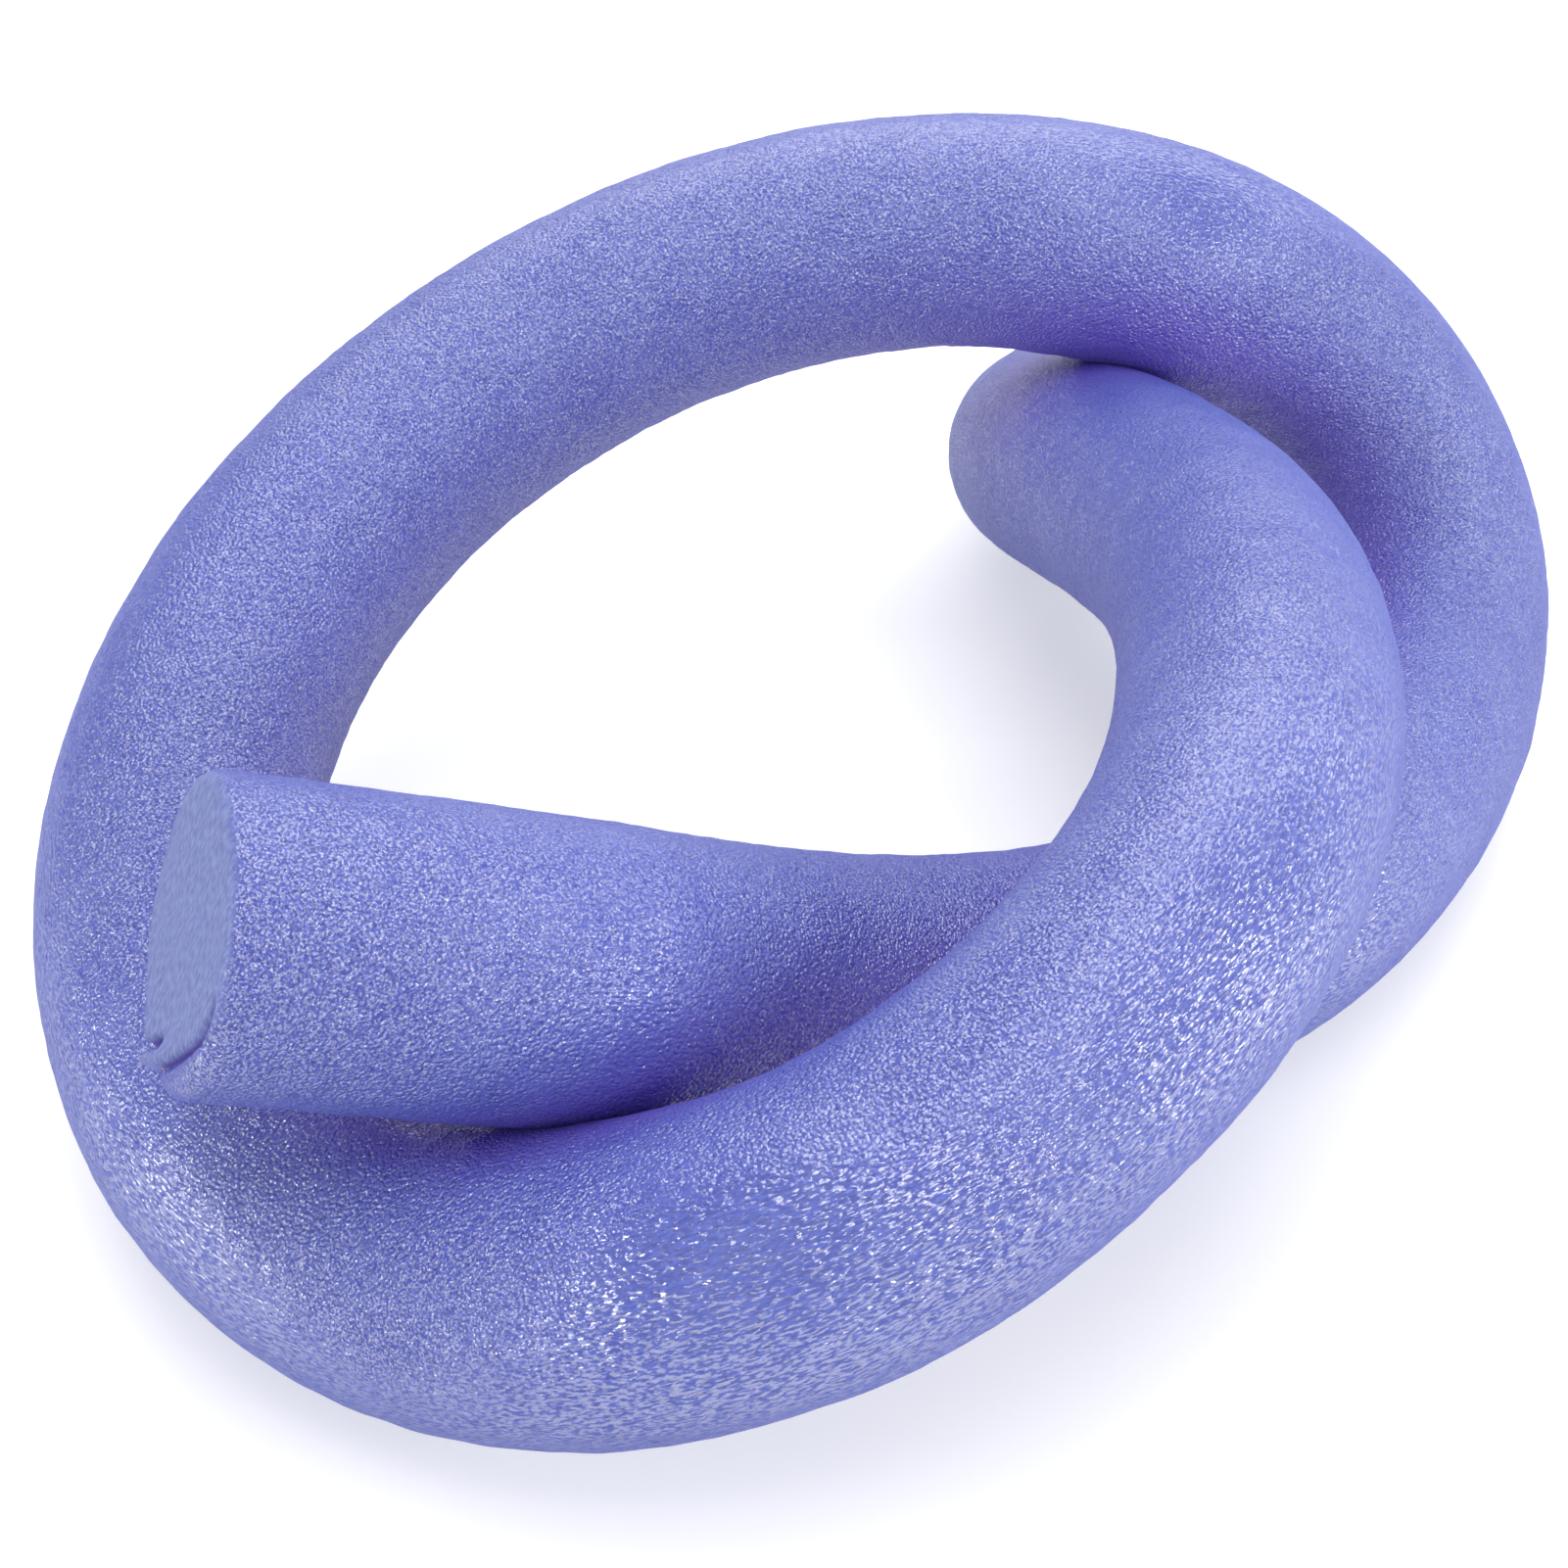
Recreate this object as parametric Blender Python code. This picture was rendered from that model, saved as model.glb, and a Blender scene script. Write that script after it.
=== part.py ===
"""A solid foam pool noodle tied in a loose overhand knot and laid down, in metres with +Z up.

The noodle is one extruded length of closed-cell foam, round all along and cut off square at both ends.
Its centre line is a smooth curve pulled towards a short list of stations, written in noodle diameters,
so the knot keeps its shape when the diameter changes. The length runs out along the hidden tail.
The knot rests on the floor in three places, and the foam is cut flat there. The origin is on the floor,
under the middle of the object.
"""
import bpy
import bmesh
import numpy as np
from math import ceil, cos, pi, radians, sin
from mathutils import Matrix, Vector

# The noodle as it is sold.
NOODLE_DIAMETER = 0.062
NOODLE_LENGTH = 1.63

# How deep the foam is cut flat where it rests on the floor.
REST_FLAT_DEPTH = 0.0005

# The cut ends have a slightly softened edge.
CUT_EDGE_ROUND = 0.0012

# The blade left a torn lip round the lowest part of the front cut, with a groove inside it.
LIP_WIDTH = 0.004
LIP_HEIGHT = 0.002
GROOVE_WIDTH = 0.003
GROOVE_DEPTH = 0.0015
LIP_START_DEGREES = -8
LIP_END_DEGREES = 105
LIP_PEAK_SHARE = 0.12

# How far apart the rings of the surface are, as a share of the diameter, and how many sides it has.
RING_STEP_SHARE = 0.26
SIDES = 32

# Edges that turn more than this are shaded sharp.
SHARP_DEGREES = 40

# The route of the centre line in noodle diameters: across, back and up from the floor.
ROUTE_SHARES = [
    (-1.79, -1.92, 1.84),   # the front cut end, lying over the left side of the loop
    (-0.64, -1.54, 1.37),
    (0.26, -0.78, 0.60),    # down beside the front strand
    (1.52, -0.60, 0.57),    # under the front strand
    (2.36, 0.38, 0.56),
    (2.86, 1.44, 0.44),     # on the floor at the right
    (3.08, 2.34, 0.75),
    (2.67, 2.92, 1.42),     # climbing round the back right
    (1.76, 2.74, 2.04),     # over the tail
    (0.60, 2.65, 2.22),
    (-0.60, 2.32, 2.04),
    (-1.60, 1.68, 1.64),
    (-2.18, 0.66, 1.28),    # down the left side
    (-2.38, -0.44, 0.78),   # under the front cut end
    (-1.88, -1.59, 0.52),   # on the floor at the front left
    (-1.02, -2.12, 0.45),
    (-0.20, -2.40, 0.86),
    (0.60, -2.20, 1.16),
    (1.62, -1.24, 1.63),    # over the first strand
    (1.92, 0.90, 1.57),
    (1.15, 2.86, 0.94),     # down under the back of the loop
    (1.50, 3.86, 0.48),
    (1.86, 4.75, 0.50),     # the hidden tail, level on the floor
]


def smooth_curve(stations, steps=40):
    """Points along a uniform cubic B-spline that starts at the first station and ends at the last."""
    first = 2 * stations[0] - stations[1]
    last = 2 * stations[-1] - stations[-2]
    pull = np.vstack([first, stations, last])
    share = np.linspace(0, 1, steps, endpoint=False)[:, None]
    weights = ((1 - share) ** 3, 3 * share ** 3 - 6 * share ** 2 + 4,
               -3 * share ** 3 + 3 * share ** 2 + 3 * share + 1, share ** 3)
    runs = []
    for i in range(len(stations) - 1):
        runs.append(sum(weight * pull[i + k] for k, weight in enumerate(weights)) / 6)
    return np.vstack(runs + [stations[-1:]])


def distances_along(points):
    """The distance from the first point to each point, along the line."""
    return np.concatenate([[0.0], np.cumsum(np.linalg.norm(np.diff(points, axis=0), axis=1))])


def centre_line(step):
    """Evenly spaced centres over the noodle's whole length, run on straight where the route ends."""
    curve = smooth_curve(np.array(ROUTE_SHARES) * NOODLE_DIAMETER)
    onward = curve[-1] - curve[-2]
    onward[2] = 0
    onward /= np.linalg.norm(onward)
    curve = np.vstack([curve, curve[-1] + onward * NOODLE_LENGTH])
    along = distances_along(curve)
    places = np.linspace(0, NOODLE_LENGTH, ceil(NOODLE_LENGTH / step) + 1)
    return np.stack([np.interp(places, along, curve[:, axis]) for axis in range(3)], axis=1)


def least_gap():
    """The least distance between the surfaces of two stretches of the noodle that pass each other."""
    centres = centre_line(NOODLE_DIAMETER / 12)
    apart = np.linalg.norm(centres[:, None] - centres[None], axis=2)
    along = distances_along(centres)
    passing = np.abs(along[:, None] - along[None]) > 2 * NOODLE_DIAMETER
    return apart[passing].min() - NOODLE_DIAMETER


def ring_frames(centres):
    """A placing matrix for each ring, square to the line and never twisting about it."""
    ahead = np.gradient(centres, axis=0)
    heading = Vector(ahead[0]).normalized()
    down = Vector((0, 0, -1))
    down = (down - down.dot(heading) * heading).normalized()
    frames = []
    for centre, direction in zip(centres, ahead):
        turned = Vector(direction).normalized()
        down = heading.rotation_difference(turned) @ down
        heading = turned
        turn = Matrix((down, heading.cross(down), heading)).transposed()
        frames.append(Matrix.Translation(Vector(centre)) @ turn.to_4x4())
    return frames


def add_rings(shape, frames):
    """One circle of vertices per frame, joined to the next by a band of faces."""
    rings = []
    for frame in frames:
        made = bmesh.ops.create_circle(shape, cap_ends=False, segments=SIDES, radius=NOODLE_DIAMETER / 2,
                                       matrix=frame)
        rings.append(made["verts"])
    for ring, following in zip(rings, rings[1:]):
        for i in range(SIDES):
            k = (i + 1) % SIDES
            shape.faces.new((ring[i], ring[k], following[k], following[i]))
    return rings


def close_end(shape, ring):
    """Cap one end with a flat face and soften its edge."""
    cap = shape.faces.new(ring)
    bmesh.ops.bevel(shape, geom=list(cap.edges), offset=CUT_EDGE_ROUND, segments=2, profile=0.5,
                    affect="EDGES")


def lip_share(angle):
    """How much of its full height the torn lip has at an angle from straight down, nought outside it."""
    share = (angle - radians(LIP_START_DEGREES)) / radians(LIP_END_DEGREES - LIP_START_DEGREES)
    if not 0 < share < 1:
        return 0
    if share < LIP_PEAK_SHARE:
        return sin(pi / 2 * share / LIP_PEAK_SHARE)
    return cos(pi / 2 * (share - LIP_PEAK_SHARE) / (1 - LIP_PEAK_SHARE))


def tear_lip(shape, cap, frame):
    """Raise a tapering lip round part of the cut face, sink the groove inside it and keep the rest flat."""
    outward = -frame.col[2].to_3d()
    down, front = frame.col[0].to_3d(), -frame.col[1].to_3d()
    for width, lift in ((LIP_WIDTH / 2, LIP_HEIGHT), (LIP_WIDTH / 2, 0), (GROOVE_WIDTH / 2, -GROOVE_DEPTH),
                        (GROOVE_WIDTH / 2, 0)):
        bmesh.ops.inset_region(shape, faces=[cap], thickness=width, use_even_offset=True)
        for vertex in cap.verts:
            spoke = vertex.co - frame.translation
            angle = np.arctan2(spoke.dot(front), spoke.dot(down))
            vertex.co += outward * (lift * lip_share(angle) - spoke.dot(outward))


def cut_rest_flats(shape):
    """Stand the knot on the floor, cutting the foam flat wherever it is pressed against it."""
    floor = min(vertex.co.z for vertex in shape.verts) + REST_FLAT_DEPTH
    whole = list(shape.verts) + list(shape.edges) + list(shape.faces)
    bmesh.ops.bisect_plane(shape, geom=whole, dist=NOODLE_DIAMETER * 1e-6, plane_co=(0, 0, floor),
                           plane_no=(0, 0, -1), clear_outer=True)
    bmesh.ops.holes_fill(shape, edges=[edge for edge in shape.edges if edge.is_boundary])


def centre_on_origin(shape):
    """Move the shape so that the floor under the middle of its box is the origin."""
    places = np.array([vertex.co for vertex in shape.verts])
    low, high = places.min(axis=0), places.max(axis=0)
    middle = Vector(((low[0] + high[0]) / 2, (low[1] + high[1]) / 2, low[2]))
    bmesh.ops.translate(shape, vec=-middle, verts=shape.verts)


def foam_material():
    """Blue-violet polyethylene foam, matt with a faint sheen from its closed cells."""
    material = bpy.data.materials.new("foam")
    material.use_nodes = True
    shader = material.node_tree.nodes["Principled BSDF"]
    shader.inputs["Base Color"].default_value = (0.15, 0.16, 0.58, 1)
    shader.inputs["Roughness"].default_value = 0.55
    shader.inputs["Metallic"].default_value = 0
    return material


def foam_noodle():
    """The whole noodle as one closed solid."""
    shape = bmesh.new()
    frames = ring_frames(centre_line(NOODLE_DIAMETER * RING_STEP_SHARE))
    rings = add_rings(shape, frames)
    close_end(shape, rings[0][::-1])
    front_cap = next(face for face in shape.faces if len(face.verts) == SIDES)
    tear_lip(shape, front_cap, frames[0])
    close_end(shape, rings[-1])
    cut_rest_flats(shape)
    centre_on_origin(shape)
    bmesh.ops.recalc_face_normals(shape, faces=shape.faces)
    mesh = bpy.data.meshes.new("foam_noodle")
    shape.to_mesh(mesh)
    shape.free()
    mesh.shade_smooth()
    mesh.set_sharp_from_angle(angle=radians(SHARP_DEGREES))
    mesh.materials.append(foam_material())
    noodle = bpy.data.objects.new("foam_noodle", mesh)
    bpy.context.scene.collection.objects.link(noodle)
    return noodle


for old in list(bpy.data.objects):
    bpy.data.objects.remove(old, do_unlink=True)

foam_noodle()
print(f"least gap of the noodle to itself: {least_gap() * 1000:.2f} mm")
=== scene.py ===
"""A solid foam pool noodle tied in a loose overhand knot and laid on a pale studio floor.

The noodle is one soft piece, swept along the same route as its CAD solid and given what the solid leaves
out: strands pressed flat where they cross, stretched and puckered skin round the bends, lumpy extruded
foam, and the finer tears of the front cut. All lengths are in metres.
"""
from itertools import product
from math import cos, pi, radians, sin, tau

import bpy
import numpy as np
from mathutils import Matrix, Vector


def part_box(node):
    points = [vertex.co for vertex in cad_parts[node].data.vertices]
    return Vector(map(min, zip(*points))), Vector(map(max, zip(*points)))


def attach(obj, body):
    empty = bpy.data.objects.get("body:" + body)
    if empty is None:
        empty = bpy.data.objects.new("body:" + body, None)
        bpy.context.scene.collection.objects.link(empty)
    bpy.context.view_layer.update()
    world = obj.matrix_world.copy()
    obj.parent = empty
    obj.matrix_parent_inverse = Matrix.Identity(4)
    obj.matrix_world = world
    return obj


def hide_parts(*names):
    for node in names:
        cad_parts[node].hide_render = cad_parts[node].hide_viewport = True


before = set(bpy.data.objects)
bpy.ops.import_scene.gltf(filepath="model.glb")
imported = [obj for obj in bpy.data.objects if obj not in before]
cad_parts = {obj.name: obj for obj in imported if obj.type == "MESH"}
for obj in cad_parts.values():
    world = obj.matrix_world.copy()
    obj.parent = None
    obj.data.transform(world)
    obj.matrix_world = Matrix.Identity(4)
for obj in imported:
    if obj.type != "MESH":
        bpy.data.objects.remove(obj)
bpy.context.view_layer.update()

# The noodle's own sizes, as in its CAD solid.
NOODLE_DIAMETER = 0.062
NOODLE_LENGTH = 1.63
REST_FLAT_DEPTH = 0.0005
RADIUS = NOODLE_DIAMETER / 2

# The route of the centre line in noodle diameters: across, back and up from the floor.
ROUTE_SHARES = [
    (-1.79, -1.92, 1.84),   # the front cut end, lying over the left side of the loop
    (-0.64, -1.54, 1.37),
    (0.26, -0.78, 0.60),    # down beside the front strand
    (1.52, -0.60, 0.57),    # under the front strand
    (2.36, 0.38, 0.56),
    (2.86, 1.44, 0.44),     # on the floor at the right
    (3.08, 2.34, 0.75),
    (2.67, 2.92, 1.42),     # climbing round the back right
    (1.76, 2.74, 2.04),     # over the tail
    (0.60, 2.65, 2.22),
    (-0.60, 2.32, 2.04),
    (-1.60, 1.68, 1.64),
    (-2.18, 0.66, 1.28),    # down the left side
    (-2.38, -0.44, 0.78),   # under the front cut end
    (-1.88, -1.59, 0.52),   # on the floor at the front left
    (-1.02, -2.12, 0.45),
    (-0.20, -2.40, 0.86),
    (0.60, -2.20, 1.16),
    (1.62, -1.24, 1.63),    # over the first strand
    (1.92, 0.90, 1.57),
    (1.15, 2.86, 0.94),     # down under the back of the loop
    (1.50, 3.86, 0.48),
    (1.86, 4.75, 0.50),     # the hidden tail, level on the floor
]

# How finely the skin is divided: vertices round the noodle and the distance between rings.
SIDES = 240
RING_STEP = 0.00105
END_RING_STEP = 0.0004
END_RUN = 0.012

# How far out each ring of a cut lies, as a share of its edge: close together outside, wider apart within.
CUT_SHARES = np.concatenate([1 - np.arange(1, 33) * 0.0155, np.linspace(0.48, 0.04, 14)])

# Stretches of the noodle that are further apart than this, along it, pass each other as two strands.
PASSING_RUN = 2 * NOODLE_DIAMETER

# Where the centres of two strands come this near, they cross. They touch there, swell and are pressed flat.
CROSSING_REACH = 1.05 * NOODLE_DIAMETER
CROSSING_RING_STEP = 8
PRESS_SWELL = 0.0007
PRESS_REACH = 0.055
SKIN_GAP = 0.00006
# Strands this near another are searched, and within this gap of one the skin gets painted violet shade,
# fading outwards.
CREASE_WIDTH = 0.008

# The search for pressed skin halves its range this often, and skin above this share of its radius is free.
SEARCH_HALVINGS = 12
UNPRESSED_SHARE = 0.9995

# Passing strands shade the skin, and that shade is painted into its colour as a violet tint. They are taken
# as short pieces this many rings long, and the skin goes from open to shaded between these two shares of
# its outlook.
SHADING_RING_STEP = 12
SHADING_SHARES = (0.12, 1.0)

# How round the edges of the cuts are, and the front one's where its skin is rolled in and where it is torn.
EDGE_ROUND = 0.0026
ROLLED_EDGE_ROUND = 0.0042
TORN_EDGE_ROUND = 0.0010

# Where round the front cut that is, in degrees from straight down towards the front: from the first to
# the second it comes in, and from the third to the fourth it fades.
ROLLED_DEGREES = (-2, 12, 85, 112)
TORN_DEGREES = (-30, -14, -2, 12)

# The cut's look gives way to the skin's over these shares of the rounding, its grain fades over the outer
# share of its radius, and the lumps of the skin fade over the last stretch before the back cut.
CUT_RIM = (0.05, 0.7)
CUT_GRAIN_FADE = 0.02
BACK_RELIEF_FADE = 0.001

# Features of the front cut, in the cut's own plane: down and towards the front from its middle.
GROOVE_LINE = [(-0.0095, 0.0272), (-0.0045, 0.0274), (-0.0010, 0.0276), (0.0035, 0.0264), (0.0075, 0.0242),
               (0.0130, 0.0196), (0.0200, 0.0136), (0.0250, 0.0090), (0.0295, 0.0050)]
GROOVE_HALF_WIDTH = 0.0009
GROOVE_DEPTH = 0.0022
NOTCH_LINE = [(0.0222, 0.0046), (0.0262, 0.0006), (0.0325, -0.0058)]
NOTCH_HALF_WIDTH = 0.0014
NOTCH_DEPTH = 0.0026
TONGUE_LINE = [(0.0190, 0.0108), (0.0250, 0.0052), (0.0325, -0.0020)]
TONGUE_HALF_WIDTH = 0.0019
TONGUE_HEIGHT = 0.0022
LIP_HEIGHT = 0.0003
TORN_RUN = 0.009

# Between which shares of their lines these features grow and fade, and between which distances beside the
# groove's line its lip rises and the cut gives way to rolled skin.
GROOVE_GROWTH = (0, 0.25)
GROOVE_FADING = (0.7, 1.0)
GROOVE_LOST_SHARE = 0.4
TONGUE_GROWTH = (-0.2, 0.9)
NOTCH_GROWTH = (-0.3, 0.5)
LIP_SLOPE = (0.0004, 0.0030)
CUT_TO_ROLLED_SKIN = (-0.0004, 0.0008)

# The lumps of the skin and of the cuts, by kind: how high they stand, and how long one of them is.
SWELLS = (0.00022, 0.017)
LUMPS = (0.00013, 0.0062)
PEBBLES = (0.00012, 0.0026)
STREAKS = (0.00012, 0.0024)
PUCKERS = (0.00026, 0.0034)
TORN_CELLS = (0.00016, 0.0021)
CUT_WAVES = (0.0004, 0.016)
NOISE_LATTICE = 64

# Streaks run along stretched skin, which loses some of its pebbles, and puckers run across squeezed skin.
# Each comes in between two amounts of strain.
STREAK_SHAPE = (1, 1, 0.3)
STREAKED_STRAIN = (0.12, 0.45)
PEBBLES_LOST_SHARE = 0.5
PUCKER_SHAPE = (0.4, 0.4, 1.5)
PUCKERED_STRAIN = (0.12, 0.4)

# The finer pattern that the foam's material draws, as features to the metre.
BUBBLES = 1150.0
LONG_BUBBLES = 1100.0
TILTS = 1200.0
LONG_TILTS = 1000.0
GRAINS = 1500.0
CUT_CELLS = 1250.0

# Its spots: as many to the metre, and the levels of the noise between which they come out.
PATCHES = (60.0, 0.3, 0.7)
WHOLE_SKINS = (1900.0, 0.44, 0.56)
LONG_WHOLE_SKINS = (1700.0, 0.42, 0.56)

# How the pattern is drawn out along stretched skin and one way across a cut, and how deep it is.
DRAWN_SHAPE = (1, 1, 0.45)
DRAWN_STRAIN = (0.02, 0.26)
SLICED_SHAPE = (0.35, 1, 1)
DOME_SHARE = 0.9
STRETCHED_RELIEF_SHARE = 0.85
RELIEF_DEPTH = 0.00052

# The foam's colours, how much of them shows, and the levels between which they come in.
DEEP_BLUE = (0.042, 0.062, 0.395, 1)
PALE_BLUE = (0.090, 0.127, 0.555, 1)
STRETCHED_BLUE = (0.21, 0.265, 0.66, 1)
CUT_BLUE = (0.245, 0.30, 0.60, 1)
CUT_DEEP_BLUE = (0.13, 0.165, 0.45, 1)
# The two violets are painted shade, not the foam's own colour: the first in creases and under passing
# strands, the second deep in the front cut's groove and notch.
CREASE_SHADE_VIOLET = (0.14, 0.085, 0.56, 1)
SPLIT_SHADE_VIOLET = (0.085, 0.055, 0.38, 1)
PATCH_SHARE = 0.15
STRETCHED_SHARE = 0.25
# How strongly the painted crease shade shows.
CREASE_SHADE_SHARE = 0.8
GRAIN_LEVELS = (0.36, 0.66)
CELL_LEVELS = (0.3, 0.7)
PALE_STRAIN = (0.05, 0.4)
# Depths in a split between which its painted shade comes in.
SPLIT_SHADE_LEVELS = (0.2, 0.7)

# The foam's gloss: rough below, with a thin smooth coat where a bubble's skin is whole. The coat weakens
# where the skin is seen edgeways.
SKIN_ROUGHNESS = 0.6
CUT_ROUGHNESS = 0.8
FOAM_IOR = 1.6
COAT_IOR = 2.7
COAT_ROUGHNESS = 0.14
EDGEWAYS_COAT_SHARE = 0.15
EDGEWAYS_LEVELS = (0.4, 1.0)

# The studio.
FLOOR_WIDTH = 12
FLOOR_PALE = (0.72, 0.72, 0.73, 1)
FLOOR_GLOW = 0.46
ROOM_LIGHT = 0.15

# The lamps: bearing, climb, distance, width, height and power.
SOFTBOXES = {
    "left_softbox": (-64, 15, 1.3, 0.7, 0.38, 5.8),
    "front_right_softbox": (22, 17, 1.3, 0.45, 0.32, 3.3),
    "right_softbox": (67, 14, 1.3, 0.65, 0.38, 5.2),
    "far_right_softbox": (116, 24, 1.5, 1.0, 0.5, 4.4),
    "top_softbox": (0, 80, 1.5, 1.2, 1.2, 14.5),
    "back_softbox": (180, 38, 1.8, 2.4, 2.4, 32),
}

# The photograph's view of the knot.
CAMERA_RISE_DEGREES = 35.48
CAMERA_DISTANCE = 0.58766
CAMERA_LENS = 56.876
CAMERA_SHIFT = (0.0012, 0.0036)


def smooth_curve(stations, steps=240):
    """Points along a uniform cubic B-spline that starts at the first station and ends at the last."""
    first = 2 * stations[0] - stations[1]
    last = 2 * stations[-1] - stations[-2]
    pull = np.vstack([first, stations, last])
    share = np.linspace(0, 1, steps, endpoint=False)[:, None]
    weights = ((1 - share) ** 3, 3 * share ** 3 - 6 * share ** 2 + 4,
               -3 * share ** 3 + 3 * share ** 2 + 3 * share + 1, share ** 3)
    runs = []
    for i in range(len(stations) - 1):
        runs.append(sum(weight * pull[i + k] for k, weight in enumerate(weights)) / 6)
    return np.vstack(runs + [stations[-1:]])


def unit(arrows):
    """The same arrows, each of length one."""
    return arrows / np.linalg.norm(arrows, axis=-1, keepdims=True)


def ring_places():
    """Distances along the noodle at which the skin has a ring, closer together at the two ends."""
    front = np.arange(0, END_RUN, END_RING_STEP)
    back = NOODLE_LENGTH - front[::-1]
    middle = np.linspace(END_RUN, NOODLE_LENGTH - END_RUN, round((NOODLE_LENGTH - 2 * END_RUN) / RING_STEP))
    return np.concatenate([front, middle, back])


def centres_at(places):
    """The centre line at the given distances along the noodle."""
    curve = smooth_curve(np.array(ROUTE_SHARES) * NOODLE_DIAMETER)
    onward = (curve[-1] - curve[-2]) * (1, 1, 0)
    curve = np.vstack([curve, curve[-1] + unit(onward) * NOODLE_LENGTH])
    along = np.concatenate([[0.0], np.cumsum(np.linalg.norm(np.diff(curve, axis=0), axis=1))])
    return np.stack([np.interp(places, along, curve[:, axis]) for axis in range(3)], axis=1)


def stand_in_cad_box(centres):
    """The centre line moved so that the noodle round it fills the box of its CAD solid, and the move."""
    low, high = (Vector(corner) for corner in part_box("foam_noodle"))
    headings = unit(np.gradient(centres, axis=0))
    reach = RADIUS * np.sqrt(1 - headings ** 2)
    lowest = (centres - reach).min(axis=0)
    highest = (centres + reach).max(axis=0)
    middle = (lowest + highest) / 2
    move = np.array([(low.x + high.x) / 2 - middle[0], (low.y + high.y) / 2 - middle[1],
                     -lowest[2] - REST_FLAT_DEPTH])
    return centres + move, move


def press_crossings(centres, places):
    """Let the strands touch wherever they cross, and say how much each ring swells there."""
    pressed = centres.copy()
    swelling = np.zeros(len(places))
    spots = centres[::CROSSING_RING_STEP]
    coarse = places[::CROSSING_RING_STEP]
    apart = np.linalg.norm(spots[:, None] - spots[None], axis=2)
    apart[coarse[None] - coarse[:, None] <= PASSING_RUN] = np.inf
    while apart.min() < CROSSING_REACH:
        i, k = np.unravel_index(apart.argmin(), apart.shape)
        towards = unit(spots[k] - spots[i]) * (apart[i, k] - NOODLE_DIAMETER) / 2
        for place, sign in ((coarse[i], 1), (coarse[k], -1)):
            reach = np.exp(-((places - place) / PRESS_REACH) ** 2)
            pressed += sign * towards * reach[:, None]
            swelling = np.maximum(swelling, PRESS_SWELL * reach)
        near_first = np.abs(coarse[:, None] - coarse[i]) < PASSING_RUN
        near_second = np.abs(coarse[None] - coarse[k]) < PASSING_RUN
        apart[near_first & near_second] = np.inf
    return pressed, swelling


def ring_axes(centres):
    """For each ring its heading, and two directions square to it that never twist about it."""
    headings = unit(np.gradient(centres, axis=0))
    down = np.array([0.0, 0.0, -1.0])
    downs = np.empty_like(centres)
    for i, heading in enumerate(headings):
        down = unit(down - down @ heading * heading)
        downs[i] = down
    return headings, downs, np.cross(downs, headings)


def soft_noise(places, grain, seed):
    """Smooth random values from -1 to 1, about one swell per grain of length."""
    lattice = np.random.default_rng(seed).uniform(-1, 1, (NOISE_LATTICE,) * 3)
    spot = places / grain
    low = np.floor(spot).astype(int)
    share = spot - low
    share = share * share * (3 - 2 * share)
    value = np.zeros(places.shape[:-1])
    for corner in product((0, 1), repeat=3):
        weight = np.where(corner, share, 1 - share).prod(axis=-1)
        at = (low + corner) % NOISE_LATTICE
        value += weight * lattice[at[..., 0], at[..., 1], at[..., 2]]
    return value


def lumps_at(places, kind, seed):
    """How far lumps of one kind stand out or in at each place."""
    height, grain = kind
    return height * soft_noise(places, grain, seed)


def rising(value, low, high):
    """Nought below low, one above high, and a smooth rise between."""
    share = np.clip((value - low) / (high - low), 0, 1)
    return share * share * (3 - 2 * share)


def away_from_line(places, line):
    """How far points of a plane are from a line of straight runs, how far along it, and on which side."""
    line = np.array(line)
    best = np.full(places.shape[:-1], np.inf)
    along = np.zeros(places.shape[:-1])
    side = np.zeros(places.shape[:-1])
    for i, (start, end) in enumerate(zip(line, line[1:])):
        run = end - start
        spoke = places - start
        share = np.clip(spoke @ run / (run @ run), 0, 1)
        distance = np.linalg.norm(spoke - share[..., None] * run, axis=-1)
        closer = distance < best
        side = np.where(closer, np.sign(run[0] * spoke[..., 1] - run[1] * spoke[..., 0]), side)
        best = np.where(closer, distance, best)
        along = np.where(closer, (i + share) / (len(line) - 1), along)
    return best, along, side


def foam_relief(straight, strain):
    """How far the skin stands proud of a true round noodle."""
    stretched = rising(strain, *STREAKED_STRAIN)
    squeezed = rising(-strain, *PUCKERED_STRAIN)
    lumps = lumps_at(straight, SWELLS, 1) + lumps_at(straight, LUMPS, 2)
    pebbles = lumps_at(straight, PEBBLES, 3) * (1 - PEBBLES_LOST_SHARE * stretched)
    streaks = lumps_at(straight * STREAK_SHAPE, STREAKS, 4) * stretched
    puckers = lumps_at(straight * PUCKER_SHAPE, PUCKERS, 5) * squeezed
    return lumps + pebbles + streaks + puckers


def cut_relief(places):
    """The torn front cut at places in its plane: how far it stands out, and how deep in a split it lies,
    which sets the painted shade there.
    """
    aside, along, side = away_from_line(places, GROOVE_LINE)
    depth = rising(along, *GROOVE_GROWTH) * (1 - GROOVE_LOST_SHARE * rising(along, *GROOVE_FADING))
    groove = depth * np.exp(-(aside / GROOVE_HALF_WIDTH) ** 2)
    lip = LIP_HEIGHT * depth * rising(side * aside, *LIP_SLOPE)
    aside, along, _ = away_from_line(places, TONGUE_LINE)
    tongue = TONGUE_HEIGHT * rising(along, *TONGUE_GROWTH) * np.exp(-(aside / TONGUE_HALF_WIDTH) ** 2)
    aside, along, _ = away_from_line(places, NOTCH_LINE)
    notch = rising(along, *NOTCH_GROWTH) * np.exp(-(aside / NOTCH_HALF_WIDTH) ** 4)
    return lip + tongue - GROOVE_DEPTH * groove - NOTCH_DEPTH * notch, np.maximum(groove, notch)


def share_round(angles, degrees):
    """Nought up to the first of four angles and from the fourth on, one between the middle two."""
    first, second, third, fourth = (radians(degree) for degree in degrees)
    return rising(angles, first, second) * (1 - rising(angles, third, fourth))


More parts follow.
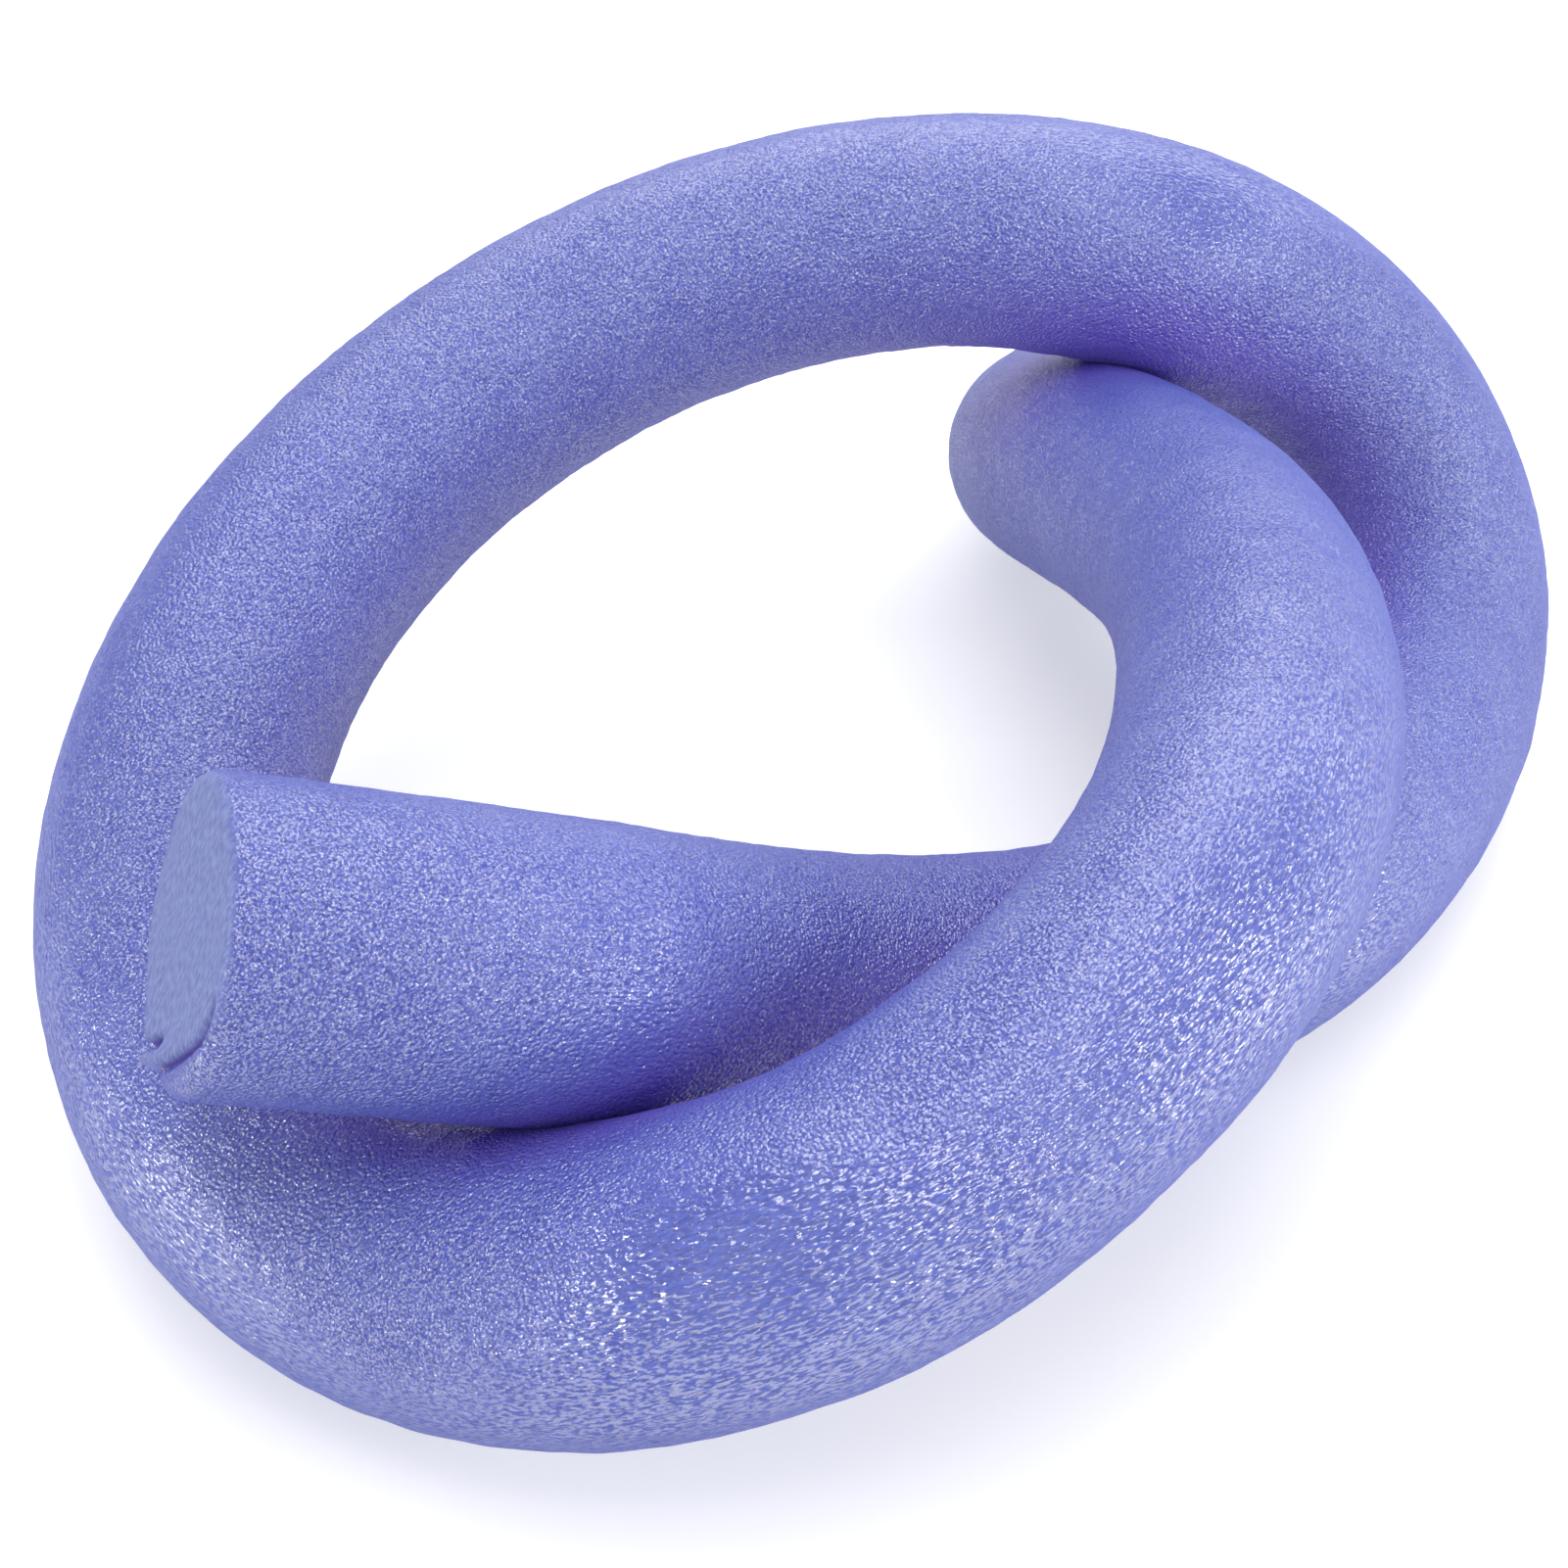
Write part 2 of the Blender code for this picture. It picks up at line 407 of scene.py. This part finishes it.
def front_rounding(angles):
    """How round the edge of the front cut is at each angle from straight down."""
    rounding = EDGE_ROUND + (ROLLED_EDGE_ROUND - EDGE_ROUND) * share_round(angles, ROLLED_DEGREES)
    return rounding + (TORN_EDGE_ROUND - EDGE_ROUND) * share_round(angles, TORN_DEGREES)


def rounded_radius(places, rounding):
    """The noodle's radius at each skin point, without its lumps: less towards the two cut edges."""
    front_dip = np.clip(1 - places[:, None] / rounding[None], 0, 1)
    back_dip = np.clip(1 - (NOODLE_LENGTH - places[:, None]) / EDGE_ROUND, 0, 1)
    front_loss = rounding * (1 - np.sqrt(1 - front_dip ** 2))
    back_loss = EDGE_ROUND * (1 - np.sqrt(1 - back_dip ** 2))
    return RADIUS - front_loss - back_loss


def torn_grain(places, layer, seeds):
    """How far the torn cells and low waves of a cut stand out at its places, fading at its edge."""
    spots = np.concatenate([places, layer[..., None]], axis=-1)
    fade = rising(1 - CUT_SHARES, 0, CUT_GRAIN_FADE)[:, None]
    return fade * (lumps_at(spots, TORN_CELLS, seeds[0]) + lumps_at(spots, CUT_WAVES, seeds[1]))


def keep_strands_apart(skin, centres, places):
    """Flatten each strand where it would enter another, and say how deep in a crease the skin lies, which
    sets its painted shade.
    """
    crease_shade = np.zeros(skin.shape[:2])
    for i, centre in enumerate(centres):
        others = centres[(np.abs(places - places[i]) > PASSING_RUN)
                         & (np.linalg.norm(centres - centre, axis=1) < NOODLE_DIAMETER + CREASE_WIDTH)]
        if not len(others):
            continue
        spokes = skin[i] - centre
        low, high = np.zeros(SIDES), np.ones(SIDES)
        length = np.linalg.norm(spokes, axis=1)
        for _ in range(SEARCH_HALVINGS):
            share = (low + high) / 2
            at = centre + spokes * share[:, None]
            to_other = np.linalg.norm(at[:, None] - others[None], axis=2).min(axis=1)
            clear = to_other > length * share + SKIN_GAP
            low, high = np.where(clear, share, low), np.where(clear, high, share)
        skin[i] = centre + spokes * np.where(high > UNPRESSED_SHARE, 1, low)[:, None]
        gap = np.linalg.norm(skin[i][:, None] - others[None], axis=2).min(axis=1) - RADIUS
        crease_shade[i] = 1 - rising(gap, 0, CREASE_WIDTH)
    return skin, crease_shade


def shaded_share(skin, spokes, centres, places):
    """How much of its outlook each skin point loses to strands that pass it, from nought to one, for
    painted shade.
    """
    share = np.empty(skin.shape[:2])
    others, other_places = centres[::SHADING_RING_STEP], places[::SHADING_RING_STEP]
    weights = NOODLE_DIAMETER * np.gradient(other_places) / pi
    for i in range(len(skin)):
        apart = np.abs(other_places - places[i]) > PASSING_RUN
        away = others[apart][None] - skin[i][:, None]
        distance = np.linalg.norm(away, axis=2)
        facing = np.clip((away * spokes[i][:, None]).sum(axis=2) / distance, 0, 1)
        share[i] = (facing * weights[apart] / distance ** 2).sum(axis=1)
    return rising(share, *SHADING_SHARES)


def mesh_of(front_cap, skin, back_cap):
    """Vertices and faces of the closed noodle. A cap is rings from its edge inwards, and gets a middle."""
    rings = np.concatenate([front_cap[::-1], skin, back_cap])
    count = len(rings)
    middles = [front_cap[-1].mean(axis=0), back_cap[-1].mean(axis=0)]
    points = np.concatenate([rings.reshape(-1, 3), middles])
    ring, side = np.meshgrid(np.arange(count - 1), np.arange(SIDES), indexing="ij")
    following = (side + 1) % SIDES
    quads = np.stack([ring * SIDES + side, (ring + 1) * SIDES + side, (ring + 1) * SIDES + following,
                      ring * SIDES + following], axis=-1).reshape(-1, 4)
    around = np.arange(SIDES)
    after = (around + 1) % SIDES
    front = np.stack([np.full(SIDES, count * SIDES), around, after], axis=-1)
    back = np.stack([np.full(SIDES, count * SIDES + 1), (count - 1) * SIDES + after,
                     (count - 1) * SIDES + around], axis=-1)
    return points, quads, np.concatenate([front, back])


def add_mesh(name, points, quads, corners):
    """A mesh object made of four-sided and three-sided faces."""
    mesh = bpy.data.meshes.new(name)
    mesh.vertices.add(len(points))
    mesh.vertices.foreach_set("co", points.ravel())
    mesh.loops.add(quads.size + corners.size)
    mesh.loops.foreach_set("vertex_index", np.concatenate([quads.ravel(), corners.ravel()]))
    mesh.polygons.add(len(quads) + len(corners))
    starts = np.concatenate([np.arange(len(quads)) * 4, quads.size + np.arange(len(corners)) * 3])
    mesh.polygons.foreach_set("loop_start", starts)
    mesh.update(calc_edges=True)
    mesh.validate()
    mesh.shade_smooth()
    piece = bpy.data.objects.new(name, mesh)
    bpy.context.scene.collection.objects.link(piece)
    return piece


def add_attribute(piece, name, front_cap, skin, back_cap, middles):
    """A value or a place for every vertex, for the material to read, in the order of mesh_of."""
    kind, field = ("FLOAT_VECTOR", "vector") if skin.ndim == 3 else ("FLOAT", "value")
    rings = [part.reshape((-1,) + part.shape[2:]) for part in (front_cap[::-1], skin, back_cap)]
    values = np.concatenate(rings + [np.array(middles)])
    made = piece.data.attributes.new(name, kind, "POINT")
    made.data.foreach_set(field, np.ascontiguousarray(values, dtype=np.float32).ravel())


def foam_noodle():
    """The noodle with its skin, torn front cut and plain back cut, and how far its line was moved."""
    places = ring_places()
    centres, move = stand_in_cad_box(centres_at(places))
    centres, swelling = press_crossings(centres, places)
    headings, downs, asides = ring_axes(centres)
    bends = np.gradient(headings, places, axis=0)
    angles = np.arange(SIDES) * tau / SIDES
    signed = np.where(angles > tau / 2, angles - tau, angles)
    circle = np.stack([np.cos(angles), np.sin(angles)], axis=-1)
    spokes = circle[:, :1] * downs[:, None] + circle[:, 1:] * asides[:, None]
    strain = -RADIUS * (bends[:, None] * spokes).sum(axis=2)

    # The skin, and where its points were on the noodle before it was bent.
    rounding = front_rounding(signed)
    straight = np.empty(spokes.shape)
    straight[..., :2] = RADIUS * circle
    straight[..., 2] = places[:, None]
    radius = rounded_radius(places, rounding)
    relief_share = rising(NOODLE_LENGTH - places, 0, BACK_RELIEF_FADE)[:, None]
    radius = radius + foam_relief(straight, strain) * relief_share
    radius = radius + swelling[:, None]
    straight[..., :2] = radius[..., None] * circle
    skin = centres[:, None] + radius[..., None] * spokes

    # The front cut and the skin close behind it, which its tear pulls outwards.
    pulled, skin_split_shade = cut_relief(straight[..., :2])
    torn = np.clip(1 - places[:, None] / TORN_RUN, 0, 1) ** 2
    skin = skin + (pulled * torn)[..., None] * -headings[0]
    front_places = CUT_SHARES[:, None, None] * straight[0, :, :2]
    lift, split_shade = cut_relief(front_places)
    lift = lift + torn_grain(front_places, lift, (6, 7))
    front_rings = (centres[0] + front_places[..., :1] * downs[0] + front_places[..., 1:] * asides[0]
                   + lift[..., None] * -headings[0])

    # The back cut is plain.
    back_places = CUT_SHARES[:, None, None] * straight[-1, :, :2]
    back_lift = torn_grain(back_places, np.ones(back_places.shape[:2]), (8, 9))
    back_rings = (centres[-1] + back_places[..., :1] * downs[-1] + back_places[..., 1:] * asides[-1]
                  + back_lift[..., None] * headings[-1])

    skin, crease_shade = keep_strands_apart(skin, centres, places)
    crease_shade = np.maximum(crease_shade, shaded_share(skin, spokes, centres, places))
    points, quads, corners = mesh_of(front_rings, skin, back_rings)
    points[:, 2] = np.maximum(points[:, 2], 0)
    noodle = add_mesh("noodle", points, quads, corners)

    # Where each vertex was before the bending, how stretched it is, whether it is cut, and its painted
    # shade.
    caps = np.zeros(front_places.shape[:2])
    front_straight = np.concatenate([front_places, caps[..., None]], axis=-1)
    back_straight = np.concatenate([back_places, caps[..., None] + NOODLE_LENGTH], axis=-1)
    middles = [[0, 0, 0], [0, 0, NOODLE_LENGTH]]
    add_attribute(noodle, "straight", front_straight, straight, back_straight, middles)
    add_attribute(noodle, "strain", caps, strain, caps, [0, 0])
    aside, _, side = away_from_line(front_places, GROOVE_LINE)
    front_cut = 1 - rising(side * aside, *CUT_TO_ROLLED_SKIN)
    front_rim = 1 - rising(places[:, None] / rounding, *CUT_RIM)
    back_rim = 1 - rising((NOODLE_LENGTH - places[:, None]) / EDGE_ROUND, *CUT_RIM)
    skin_cut = np.maximum((1 - share_round(signed, ROLLED_DEGREES)) * front_rim, back_rim)
    add_attribute(noodle, "cut", front_cut, skin_cut, caps + 1, [1, 1])
    add_attribute(noodle, "crease_shade", caps, crease_shade, caps, [0, 0])
    add_attribute(noodle, "split_shade", split_shade, skin_split_shade * torn, caps, [0, 0])
    return noodle, move


class Nodes:
    """A short way to write a material's nodes and the links between them."""

    def __init__(self, name):
        self.material = bpy.data.materials.new(name)
        self.material.use_nodes = True
        self.tree = self.material.node_tree
        self.shader = self.tree.nodes["Principled BSDF"]

    def add(self, kind, inputs=(), **settings):
        """A node with its settings, and with values or other nodes' outputs put into its inputs."""
        node = self.tree.nodes.new("ShaderNode" + kind)
        for name, value in settings.items():
            setattr(node, name, value)
        for name, value in dict(inputs).items():
            self.put(node.inputs[name], value)
        return node

    def put(self, socket, value):
        """Link another node's output to a socket, or write a plain value in it."""
        if isinstance(value, bpy.types.NodeSocket):
            self.tree.links.new(value, socket)
        else:
            socket.default_value = value

    def attribute(self, name):
        """The node that reads one of the piece's own attributes."""
        return self.add("Attribute", attribute_name=name)

    def maths(self, operation, first, second):
        """One sum with two values."""
        return self.add("Math", {0: first, 1: second}, operation=operation).outputs[0]

    def blend(self, share, first, second):
        """Between two values."""
        return self.add("Mix", {0: share, 2: first, 3: second}).outputs[0]

    def tint(self, share, first, second):
        """Between two colours."""
        return self.add("Mix", {0: share, 6: first, 7: second}, data_type="RGBA").outputs[2]

    def noise(self, place, scale):
        """A soft random value about a half."""
        return self.add("TexNoise", {"Vector": place, "Scale": scale, "Detail": 2.0}).outputs["Fac"]

    def bubbles(self, place, scale):
        """The distance to the middle of the nearest bubble."""
        return self.add("TexVoronoi", {"Vector": place, "Scale": scale}).outputs["Distance"]

    def climb(self, value, low, high):
        """Nought below low, one above high, and a smooth rise between."""
        node = self.add("MapRange", {"Value": value, "From Min": low, "From Max": high},
                        interpolation_type="SMOOTHSTEP")
        return node.outputs["Result"]

    def spots(self, place, scale, low, high):
        """Soft-edged random spots: one inside them and nought outside."""
        return self.climb(self.noise(place, scale), low, high)


def foam_material():
    """Blue-violet closed-cell foam: fine glossy bubbles, drawn long where the skin is stretched."""
    made = Nodes("blue_violet_foam")
    straight = made.attribute("straight").outputs["Vector"]
    strain = made.attribute("strain").outputs["Fac"]
    cut = made.attribute("cut").outputs["Fac"]
    crease_shade = made.attribute("crease_shade").outputs["Fac"]
    split_shade = made.attribute("split_shade").outputs["Fac"]
    stretched = made.climb(strain, *DRAWN_STRAIN)
    drawn = made.add("Mapping", {"Vector": straight, "Scale": DRAWN_SHAPE}).outputs[0]
    sliced = made.add("Mapping", {"Vector": straight, "Scale": SLICED_SHAPE}).outputs[0]

    # Round bubbles under a millimetre across, and long ones in stretched skin. A cut shows torn cells.
    bubbles = made.blend(stretched, made.bubbles(straight, BUBBLES), made.bubbles(drawn, LONG_BUBBLES))
    domes = made.maths("MULTIPLY", made.maths("POWER", bubbles, 2.0), DOME_SHARE)
    tilt = made.blend(stretched, made.noise(straight, TILTS), made.noise(drawn, LONG_TILTS))
    relief = made.maths("SUBTRACT", tilt, domes)
    relief = made.maths("MULTIPLY", relief, made.blend(stretched, 1.0, STRETCHED_RELIEF_SHARE))
    cells = made.noise(sliced, CUT_CELLS)
    height = made.blend(cut, relief, cells)
    bump = made.add("Bump", {"Height": height, "Strength": 1.0, "Distance": RELIEF_DEPTH}).outputs[0]

    # The bubbles differ in tone, stretched skin is paler, and creases, skin under passing strands and
    # splits get painted violet shade.
    grit = made.blend(stretched, made.noise(straight, GRAINS), made.noise(drawn, GRAINS))
    colour = made.tint(made.climb(grit, *GRAIN_LEVELS), DEEP_BLUE, PALE_BLUE)
    patches = made.spots(straight, *PATCHES)
    colour = made.tint(made.maths("MULTIPLY", patches, PATCH_SHARE), colour, STRETCHED_BLUE)
    pale = made.climb(strain, *PALE_STRAIN)
    colour = made.tint(made.maths("MULTIPLY", pale, STRETCHED_SHARE), colour, STRETCHED_BLUE)
    cut_colour = made.tint(made.climb(cells, *CELL_LEVELS), CUT_DEEP_BLUE, CUT_BLUE)
    colour = made.tint(cut, colour, cut_colour)
    colour = made.tint(made.maths("MULTIPLY", crease_shade, CREASE_SHADE_SHARE), colour, CREASE_SHADE_VIOLET)
    # Painted shade: dark violet deep in the cut's groove and notch.
    colour = made.tint(made.climb(split_shade, *SPLIT_SHADE_LEVELS), colour, SPLIT_SHADE_VIOLET)

    # Whole bubble skins shine, less so edgeways, and the broken ones between them don't. Nor does a cut.
    whole = made.blend(stretched, made.spots(straight, *WHOLE_SKINS), made.spots(drawn, *LONG_WHOLE_SKINS))
    shine = made.maths("MULTIPLY", made.maths("SUBTRACT", 1.0, cut), whole)
    facing = made.add("LayerWeight", {"Blend": 0.5}).outputs["Facing"]
    edgeways = made.blend(made.climb(facing, *EDGEWAYS_LEVELS), 1.0, EDGEWAYS_COAT_SHARE)

    shader = made.shader
    made.put(shader.inputs["Base Color"], colour)
    made.put(shader.inputs["Roughness"], made.blend(cut, SKIN_ROUGHNESS, CUT_ROUGHNESS))
    made.put(shader.inputs["Normal"], bump)
    made.put(shader.inputs["Coat Normal"], bump)
    made.put(shader.inputs["Coat Weight"], made.maths("MULTIPLY", shine, edgeways))
    shader.inputs["IOR"].default_value = FOAM_IOR
    shader.inputs["Coat Roughness"].default_value = COAT_ROUGHNESS
    shader.inputs["Coat IOR"].default_value = COAT_IOR
    return made.material


def pale_floor():
    """A wide pale floor that keeps the object's shadow and is white elsewhere."""
    bpy.ops.object.select_all(action="DESELECT")
    bpy.ops.mesh.primitive_plane_add(size=FLOOR_WIDTH)
    floor = bpy.context.object
    floor.name = "studio_floor"
    made = Nodes("pale_floor")
    made.shader.inputs["Base Color"].default_value = FLOOR_PALE
    made.shader.inputs["Roughness"].default_value = 0.9
    made.shader.inputs["Specular IOR Level"].default_value = 0.1
    made.shader.inputs["Emission Color"].default_value = (1, 1, 1, 1)
    ray = made.add("LightPath").outputs
    seen = made.maths("MAXIMUM", ray["Is Camera Ray"], ray["Is Glossy Ray"])
    seen = made.maths("MAXIMUM", seen, ray["Is Transmission Ray"])
    made.put(made.shader.inputs["Emission Strength"], made.maths("MULTIPLY", seen, FLOOR_GLOW))
    floor.data.materials.append(made.material)


def pale_room():
    """An even pale room, which lights the object softly from all round."""
    world = bpy.data.worlds.new("pale_room")
    bpy.context.scene.world = world
    world.use_nodes = True
    room = world.node_tree.nodes["Background"]
    room.inputs["Color"].default_value = (1, 1, 1, 1)
    room.inputs["Strength"].default_value = ROOM_LIGHT


def softbox(name, bearing, climb, distance, width, height, power):
    """An oblong lamp facing the knot. The bearing is from the camera's side towards the right."""
    turn, rise = radians(bearing), radians(climb)
    lamp = bpy.data.lights.new(name, "AREA")
    lamp.shape = "RECTANGLE"
    lamp.size = width
    lamp.size_y = height
    lamp.energy = power
    holder = bpy.data.objects.new(name, lamp)
    bpy.context.scene.collection.objects.link(holder)
    target = Vector((0, 0, NOODLE_DIAMETER))
    away = Vector((sin(turn) * cos(rise), -cos(turn) * cos(rise), sin(rise)))
    holder.location = target + away * distance
    holder.rotation_euler = away.to_track_quat("Z", "Y").to_euler()
    holder.visible_camera = False


def studio_camera(move):
    """The photograph's view: from the front, a little over a third of the way up."""
    rise = radians(CAMERA_RISE_DEGREES)
    data = bpy.data.cameras.new("photo_view")
    data.sensor_width = 36
    data.lens = CAMERA_LENS
    data.shift_x, data.shift_y = CAMERA_SHIFT
    data.clip_start = 0.01
    camera = bpy.data.objects.new("photo_view", data)
    bpy.context.scene.collection.objects.link(camera)
    camera.location = (move[0], move[1] - CAMERA_DISTANCE * cos(rise),
                       move[2] + NOODLE_DIAMETER + CAMERA_DISTANCE * sin(rise))
    camera.rotation_euler = (radians(90) - rise, 0, 0)
    bpy.context.scene.camera = camera


noodle, move = foam_noodle()
noodle.data.materials.append(foam_material())
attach(noodle, "root")
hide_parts("foam_noodle")

pale_floor()
pale_room()
for name, settings in SOFTBOXES.items():
    softbox(name, *settings)
studio_camera(move)
bpy.context.scene.view_settings.view_transform = "Standard"
